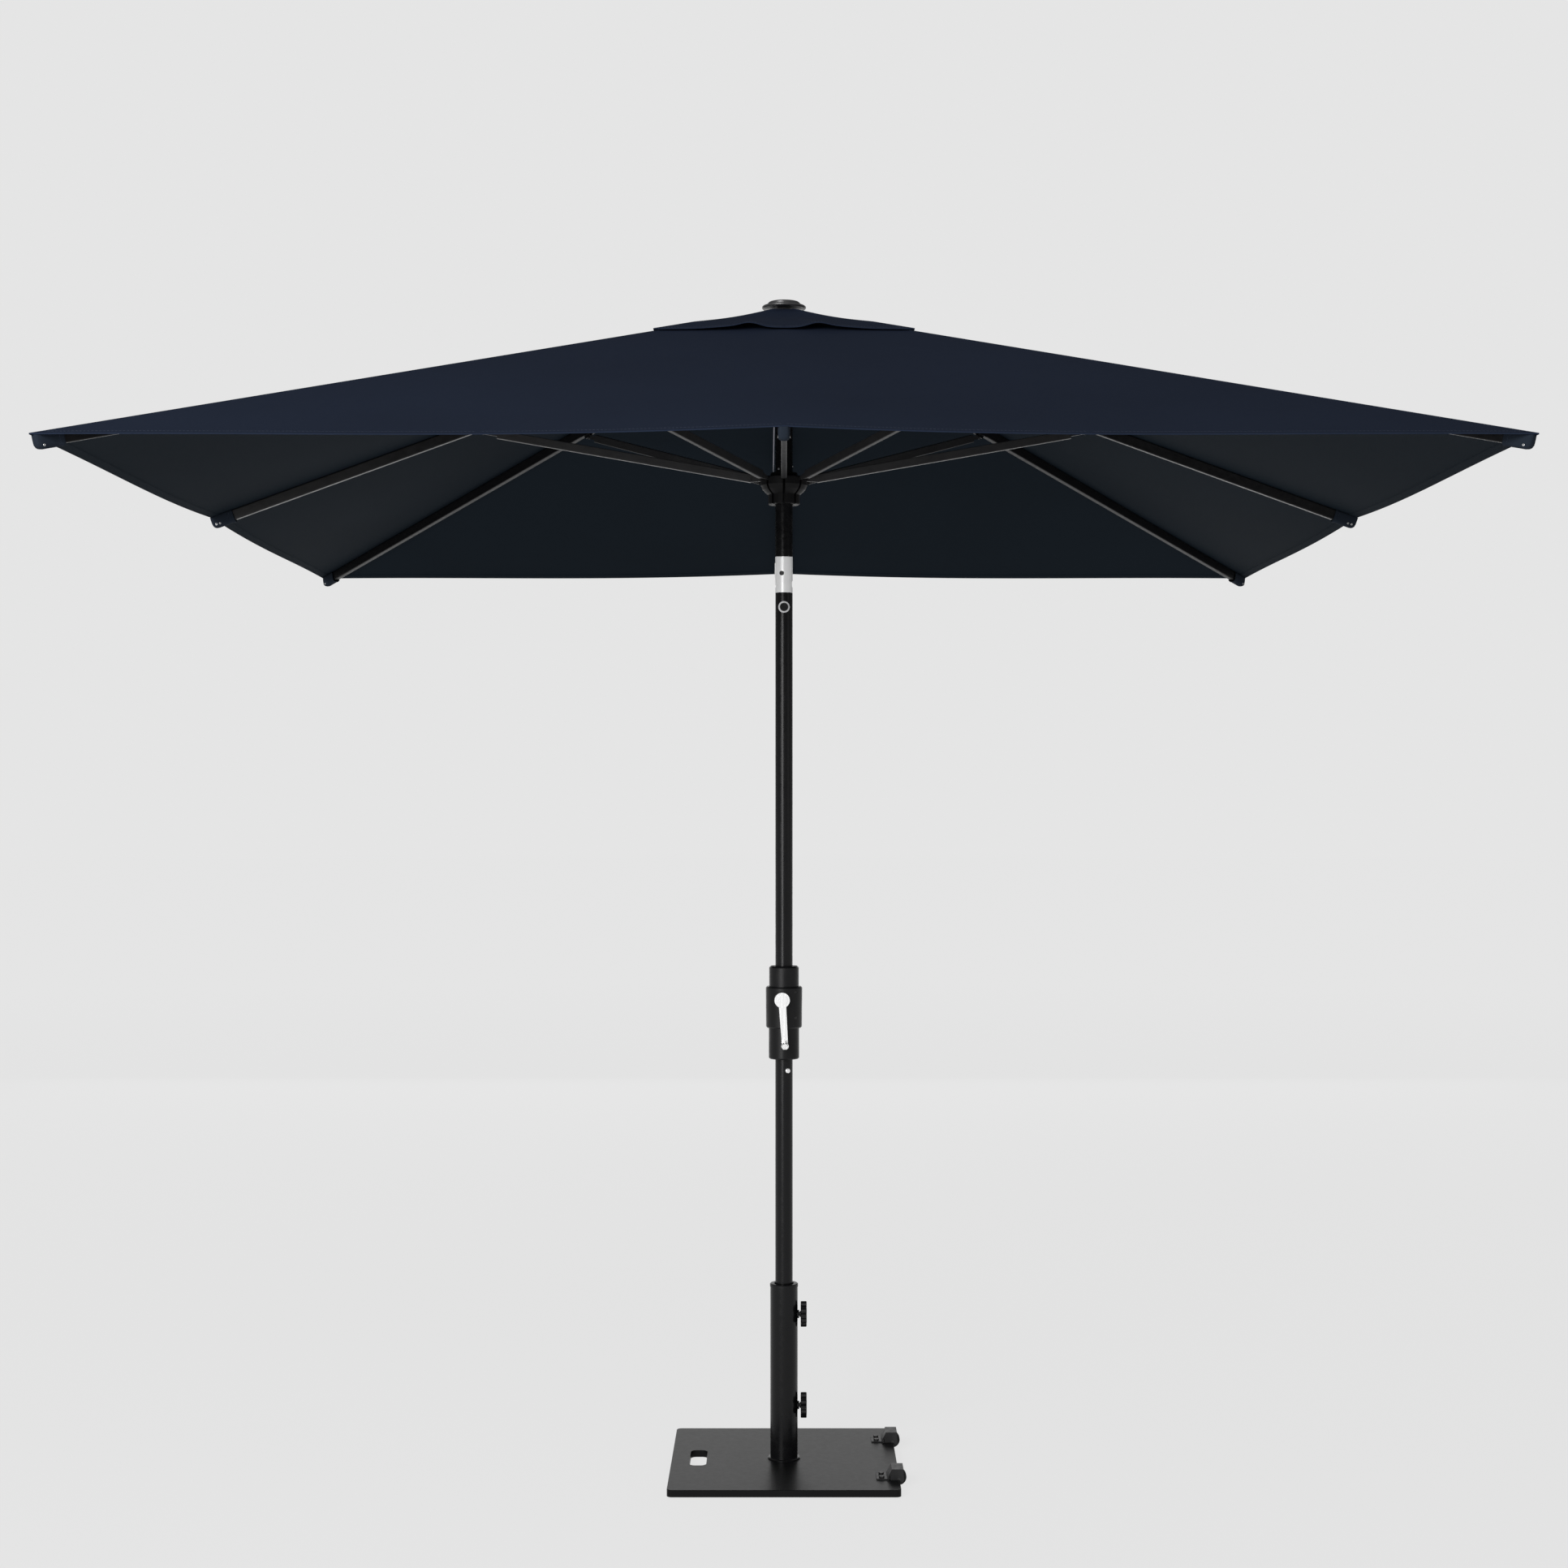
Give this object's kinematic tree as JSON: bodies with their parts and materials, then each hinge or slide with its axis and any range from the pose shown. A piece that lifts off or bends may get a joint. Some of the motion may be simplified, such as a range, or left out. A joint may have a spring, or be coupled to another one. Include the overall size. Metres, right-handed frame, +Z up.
{
  "type": "patio umbrella with base",
  "caption": "Square crank-lift patio umbrella with a two-tier canopy, tilting mast, fold-down ribs and a weighted plate base with transport wheels and clamp knobs.",
  "frame": {"origin": "on the floor, on the axis of the pole", "axes": "+Z up along the pole; the crank faces -Y; the transport wheels are on the +X side"},
  "size_m": [2.5066, 2.5066, 2.546],
  "materials": {
    "canopy_fabric": "solution-dyed woven polyester, matt, dark navy",
    "vent_fabric": "woven polyester, matt, dark navy",
    "powder_black": "black powder coat, satin",
    "plate_grey": "dark grey powder coat, fine texture",
    "rib_black": "black powder coat on steel tube",
    "satin_silver": "drawn aluminium, satin",
    "bright_metal": "polished",
    "black_plastic": "moulded, satin",
    "grey_plastic": "moulded",
    "light_plastic": "moulded",
    "tyre_rubber": "matt",
    "zinc_steel": "zinc plated",
    "dark_steel": "blackened",
    "cord_white": "braided polyester cord"
  },
  "bodies": {
    "base": {"base_plate": "plate_grey", "plate_feet": "light_plastic", "base_sleeve": "powder_black", "sleeve_cap": "black_plastic", "wheel_brackets": "powder_black", "wheel_fasteners": "dark_steel"},
    "wheel_front": {"tyre_front": "tyre_rubber", "wheel_hub_front": "light_plastic"},
    "wheel_back": {"tyre_back": "tyre_rubber", "wheel_hub_back": "light_plastic"},
    "knob_upper": {"knob_upper": "black_plastic"},
    "knob_lower": {"knob_lower": "black_plastic"},
    "guides": {"pole_guides": "grey_plastic"},
    "pole": {"lower_pole": "powder_black", "pole_plug": "black_plastic", "upper_pole": "powder_black", "crank_housing": "black_plastic", "housing_collars": "black_plastic", "housing_screws": "dark_steel", "tilt_fork": "satin_silver", "tilt_pin": "zinc_steel", "tilt_bezel": "black_plastic"},
    "crank": {"crank_handle": "bright_metal", "cord_spool": "grey_plastic"},
    "crank_knob": {"crank_knob": "bright_metal"},
    "snap_button": {"snap_button": "bright_metal"},
    "tilt_button": {"tilt_button": "black_plastic"},
    "mast": {"tilt_tongue": "satin_silver", "mast_tube": "powder_black", "top_hub": "black_plastic", "finial": "black_plastic", "vent_cap": "vent_fabric", "lift_cord": "cord_white", "mast_rivets": "zinc_steel"},
    "pulley": {"cord_pulley": "grey_plastic"},
    "runner": {"runner": "black_plastic"},
    "rib_1": {"rib_1": "rib_black", "gore_1": "canopy_fabric"},
    "strut_1": {"strut_1": "rib_black"},
    "rib_2": {"rib_2": "rib_black", "gore_2": "canopy_fabric"},
    "strut_2": {"strut_2": "rib_black"},
    "rib_3": {"rib_3": "rib_black", "gore_3": "canopy_fabric"},
    "strut_3": {"strut_3": "rib_black"},
    "rib_4": {"rib_4": "rib_black", "gore_4": "canopy_fabric"},
    "strut_4": {"strut_4": "rib_black"},
    "rib_5": {"rib_5": "rib_black", "gore_5": "canopy_fabric"},
    "strut_5": {"strut_5": "rib_black"},
    "rib_6": {"rib_6": "rib_black", "gore_6": "canopy_fabric"},
    "strut_6": {"strut_6": "rib_black"},
    "rib_7": {"rib_7": "rib_black", "gore_7": "canopy_fabric"},
    "strut_7": {"strut_7": "rib_black"},
    "rib_8": {"rib_8": "rib_black", "gore_8": "canopy_fabric"},
    "strut_8": {"strut_8": "rib_black"}
  },
  "joints": [
    {"name": "pole_swivel", "type": "hinge", "parent": "base", "child": "guides", "pos_m": [0, 0, 0.2], "axis": [0, 0, 1], "continuous": true},
    {"name": "pole_lift", "type": "slide", "parent": "guides", "child": "pole", "axis": [0, 0, 1], "range_m": [0, 0.3]},
    {"name": "tilt", "type": "hinge", "parent": "pole", "child": "mast", "pos_m": [-0.005, 0, 1.952], "axis": [0, 1, 0], "range_deg": [-28, 0]},
    {"name": "canopy_fold", "type": "slide", "parent": "mast", "child": "runner", "axis": [0, 0, -1], "range_m": [0, 0.931], "deforming": ["vent_cap", "lift_cord"]},
    {"name": "crank_turn", "type": "hinge", "parent": "pole", "child": "crank", "pos_m": [-0.004, -0.045, 1.023], "axis": [0, 1, 0], "range_deg": [0, 4268.4]},
    {"name": "crank_knob_spin", "type": "hinge", "parent": "crank", "child": "crank_knob", "pos_m": [0.0022, -0.06, 0.926], "axis": [0, 1, 0], "continuous": true},
    {"name": "pulley_turn", "type": "hinge", "parent": "mast", "child": "pulley", "pos_m": [-0.01068, -0.00427, 2.466], "axis": [0.3714, -0.9285, 0], "range_deg": [0, 7258.5]},
    {"name": "tilt_button_press", "type": "slide", "parent": "pole", "child": "tilt_button", "axis": [0, 1, 0], "range_m": [0, 0.003], "stiffness_N_per_m": 400},
    {"name": "snap_button_press", "type": "slide", "parent": "pole", "child": "snap_button", "axis": [-0.4226, 0.9063, 0], "range_m": [0, 0.0035], "stiffness_N_per_m": 400},
    {"name": "knob_upper_turn", "type": "hinge", "parent": "base", "child": "knob_upper", "pos_m": [0.043, 0, 0.333], "axis": [1, 0, 0], "continuous": true},
    {"name": "knob_lower_turn", "type": "hinge", "parent": "base", "child": "knob_lower", "pos_m": [0.043, 0, 0.134], "axis": [1, 0, 0], "continuous": true},
    {"name": "wheel_front_spin", "type": "hinge", "parent": "base", "child": "wheel_front", "pos_m": [0.243, -0.147, 0.02], "axis": [0, 1, 0], "continuous": true},
    {"name": "wheel_back_spin", "type": "hinge", "parent": "base", "child": "wheel_back", "pos_m": [0.243, 0.147, 0.02], "axis": [0, 1, 0], "continuous": true},
    {"name": "rib_1_hinge", "type": "hinge", "parent": "mast", "child": "rib_1", "pos_m": [0.036, 0, 2.5035], "axis": [0, 1, 0], "range_deg": [0, 63.62], "deforming": ["gore_1"]},
    {"name": "strut_1_hinge", "type": "hinge", "parent": "rib_1", "child": "strut_1", "pos_m": [0.656, 0, 2.26167], "axis": [0, 1, 0], "range_deg": [-139.91, 0]},
    {"name": "rib_2_hinge", "type": "hinge", "parent": "mast", "child": "rib_2", "pos_m": [0.02546, 0.02546, 2.5054], "axis": [-0.7071, 0.7071, 0], "range_deg": [0, 69.78], "deforming": ["gore_2"]},
    {"name": "strut_2_hinge", "type": "hinge", "parent": "rib_2", "child": "strut_2", "pos_m": [0.46609, 0.46609, 2.32453], "axis": [-0.7071, 0.7071, 0], "range_deg": [-141.63, 0]},
    {"name": "rib_3_hinge", "type": "hinge", "parent": "mast", "child": "rib_3", "pos_m": [0, 0.036, 2.5035], "axis": [-1, 0, 0], "range_deg": [0, 63.62], "deforming": ["gore_3"]},
    {"name": "strut_3_hinge", "type": "hinge", "parent": "rib_3", "child": "strut_3", "pos_m": [0, 0.656, 2.26167], "axis": [-1, 0, 0], "range_deg": [-139.91, 0]},
    {"name": "rib_4_hinge", "type": "hinge", "parent": "mast", "child": "rib_4", "pos_m": [-0.02546, 0.02546, 2.5054], "axis": [-0.7071, -0.7071, 0], "range_deg": [0, 69.78], "deforming": ["gore_4"]},
    {"name": "strut_4_hinge", "type": "hinge", "parent": "rib_4", "child": "strut_4", "pos_m": [-0.46609, 0.46609, 2.32453], "axis": [-0.7071, -0.7071, 0], "range_deg": [-141.63, 0]},
    {"name": "rib_5_hinge", "type": "hinge", "parent": "mast", "child": "rib_5", "pos_m": [-0.036, 0, 2.5035], "axis": [0, -1, 0], "range_deg": [0, 63.62], "deforming": ["gore_5"]},
    {"name": "strut_5_hinge", "type": "hinge", "parent": "rib_5", "child": "strut_5", "pos_m": [-0.656, 0, 2.26167], "axis": [0, -1, 0], "range_deg": [-139.91, 0]},
    {"name": "rib_6_hinge", "type": "hinge", "parent": "mast", "child": "rib_6", "pos_m": [-0.02546, -0.02546, 2.5054], "axis": [0.7071, -0.7071, 0], "range_deg": [0, 69.78], "deforming": ["gore_6"]},
    {"name": "strut_6_hinge", "type": "hinge", "parent": "rib_6", "child": "strut_6", "pos_m": [-0.46609, -0.46609, 2.32453], "axis": [0.7071, -0.7071, 0], "range_deg": [-141.63, 0]},
    {"name": "rib_7_hinge", "type": "hinge", "parent": "mast", "child": "rib_7", "pos_m": [0, -0.036, 2.5035], "axis": [1, 0, 0], "range_deg": [0, 63.62], "deforming": ["gore_7"]},
    {"name": "strut_7_hinge", "type": "hinge", "parent": "rib_7", "child": "strut_7", "pos_m": [0, -0.656, 2.26167], "axis": [1, 0, 0], "range_deg": [-139.91, 0]},
    {"name": "rib_8_hinge", "type": "hinge", "parent": "mast", "child": "rib_8", "pos_m": [0.02546, -0.02546, 2.5054], "axis": [0.7071, 0.7071, 0], "range_deg": [0, 69.78], "deforming": ["gore_8"]},
    {"name": "strut_8_hinge", "type": "hinge", "parent": "rib_8", "child": "strut_8", "pos_m": [0.46609, -0.46609, 2.32453], "axis": [0.7071, 0.7071, 0], "range_deg": [-141.63, 0]}
  ],
  "couplings": [
    {"joint": "crank_turn", "follows": "canopy_fold", "rad_per_m": 80},
    {"joint": "pulley_turn", "follows": "canopy_fold", "rad_per_m": 136.05},
    {"joint": "rib_1_hinge", "follows": "canopy_fold", "rad_per_m": 1.1916},
    {"joint": "strut_1_hinge", "follows": "canopy_fold", "rad_per_m": -2.6218},
    {"joint": "rib_2_hinge", "follows": "canopy_fold", "rad_per_m": 1.3071},
    {"joint": "strut_2_hinge", "follows": "canopy_fold", "rad_per_m": -2.6539},
    {"joint": "rib_3_hinge", "follows": "canopy_fold", "rad_per_m": 1.1916},
    {"joint": "strut_3_hinge", "follows": "canopy_fold", "rad_per_m": -2.6218},
    {"joint": "rib_4_hinge", "follows": "canopy_fold", "rad_per_m": 1.3071},
    {"joint": "strut_4_hinge", "follows": "canopy_fold", "rad_per_m": -2.6539},
    {"joint": "rib_5_hinge", "follows": "canopy_fold", "rad_per_m": 1.1916},
    {"joint": "strut_5_hinge", "follows": "canopy_fold", "rad_per_m": -2.6218},
    {"joint": "rib_6_hinge", "follows": "canopy_fold", "rad_per_m": 1.3071},
    {"joint": "strut_6_hinge", "follows": "canopy_fold", "rad_per_m": -2.6539},
    {"joint": "rib_7_hinge", "follows": "canopy_fold", "rad_per_m": 1.1916},
    {"joint": "strut_7_hinge", "follows": "canopy_fold", "rad_per_m": -2.6218},
    {"joint": "rib_8_hinge", "follows": "canopy_fold", "rad_per_m": 1.3071},
    {"joint": "strut_8_hinge", "follows": "canopy_fold", "rad_per_m": -2.6539}
  ]
}
